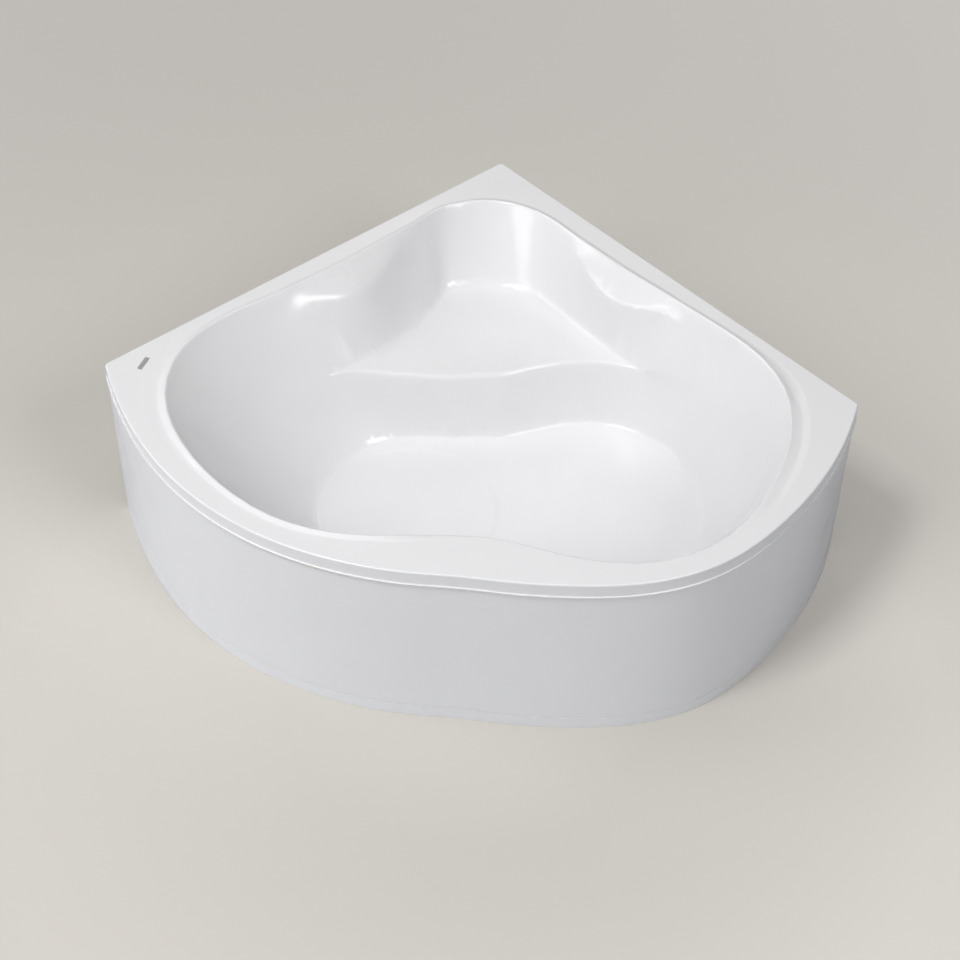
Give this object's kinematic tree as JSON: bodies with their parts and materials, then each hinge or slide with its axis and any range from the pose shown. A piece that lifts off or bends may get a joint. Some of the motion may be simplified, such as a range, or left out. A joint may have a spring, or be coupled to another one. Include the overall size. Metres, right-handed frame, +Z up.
{
  "type": "corner bathtub",
  "caption": "Corner bathtub: a two-lobed acrylic basin with a moulded corner seat and armrests, curved front skirt, steel cradle, levelling feet, pop-up waste and overflow knob.",
  "frame": {"origin": "on the floor, under the middle of the bath's bounding box", "axes": "+Z up; the walls of the room lie at the +X and +Y sides, so the back corner of the bath is at the largest X and Y and the curved front faces -X and -Y"},
  "size_m": [1.621, 1.6841, 0.5818],
  "materials": {
    "sanitary_acrylic": "thermoformed gloss white sanitary acrylic, glass-fibre backed",
    "skirt_acrylic": "gloss white acrylic sheet",
    "base_board": "encapsulated particle board",
    "cradle_steel": "grey powder coat",
    "zinc_steel": "zinc plated",
    "hook_steel": "zinc plated pressed strip",
    "foot_plastic": "moulded black nylon",
    "chrome_trim": "polished chrome plate",
    "seal_rubber": "moulded black rubber",
    "hose_plastic": "flexible grey tube",
    "waste_plastic": "moulded white polypropylene"
  },
  "bodies": {
    "tub": {"tub_shell": "sanitary_acrylic", "base_board": "base_board", "long_rail": "cradle_steel", "back_rail": "cradle_steel", "front_rail": "cradle_steel", "post_left": "cradle_steel", "post_right": "cradle_steel", "post_back": "cradle_steel", "post_front": "cradle_steel", "jam_nuts": "zinc_steel", "wall_hooks_left": "hook_steel", "wall_hooks_right": "hook_steel", "skirt_sockets": "waste_plastic", "drain_flange": "chrome_trim", "drain_gasket": "seal_rubber", "overflow_hose": "hose_plastic", "waste_body": "waste_plastic", "trap": "waste_plastic", "slip_nut": "waste_plastic", "overflow_rose": "chrome_trim", "overflow_gasket": "seal_rubber", "overflow_body": "waste_plastic", "control_cable": "hose_plastic"},
    "skirt": {"front_skirt": "skirt_acrylic", "skirt_pins": "waste_plastic"},
    "knob": {"overflow_knob": "chrome_trim"},
    "plug": {"popup_plug": "chrome_trim", "plug_seal": "seal_rubber"},
    "foot_left": {"foot_stud_left": "zinc_steel", "foot_pad_left": "foot_plastic"},
    "foot_right": {"foot_stud_right": "zinc_steel", "foot_pad_right": "foot_plastic"},
    "foot_back": {"foot_stud_back": "zinc_steel", "foot_pad_back": "foot_plastic"},
    "foot_front": {"foot_stud_front": "zinc_steel", "foot_pad_front": "foot_plastic"},
    "foot_mid_left": {"foot_stud_mid_left": "zinc_steel", "foot_pad_mid_left": "foot_plastic"},
    "foot_mid_right": {"foot_stud_mid_right": "zinc_steel", "foot_pad_mid_right": "foot_plastic"}
  },
  "joints": [
    {"name": "knob_turn", "type": "hinge", "parent": "tub", "child": "knob", "pos_m": [-0.40158, -0.23691, 0.49421], "axis": [0.5788, 0.7122, 0.3971], "range_deg": [0, 120]},
    {"name": "plug_lift", "type": "slide", "parent": "tub", "child": "plug", "axis": [0, 0, 1], "range_m": [0, 0.01]},
    {"name": "skirt_pull", "type": "slide", "parent": "tub", "child": "skirt", "axis": [-0.7071, -0.7071, 0], "range_m": [0, 0.25]},
    {"name": "level_left", "type": "slide", "parent": "tub", "child": "foot_left", "axis": [0, 0, -1], "range_m": [-0.008, 0.015]},
    {"name": "level_right", "type": "slide", "parent": "tub", "child": "foot_right", "axis": [0, 0, -1], "range_m": [-0.008, 0.015]},
    {"name": "level_back", "type": "slide", "parent": "tub", "child": "foot_back", "axis": [0, 0, -1], "range_m": [-0.008, 0.015]},
    {"name": "level_front", "type": "slide", "parent": "tub", "child": "foot_front", "axis": [0, 0, -1], "range_m": [-0.008, 0.015]},
    {"name": "level_mid_left", "type": "slide", "parent": "tub", "child": "foot_mid_left", "axis": [0, 0, -1], "range_m": [-0.008, 0.015]},
    {"name": "level_mid_right", "type": "slide", "parent": "tub", "child": "foot_mid_right", "axis": [0, 0, -1], "range_m": [-0.008, 0.015]}
  ],
  "couplings": [
    {"joint": "plug_lift", "follows": "knob_turn", "m_per_rad": 0.00477}
  ]
}
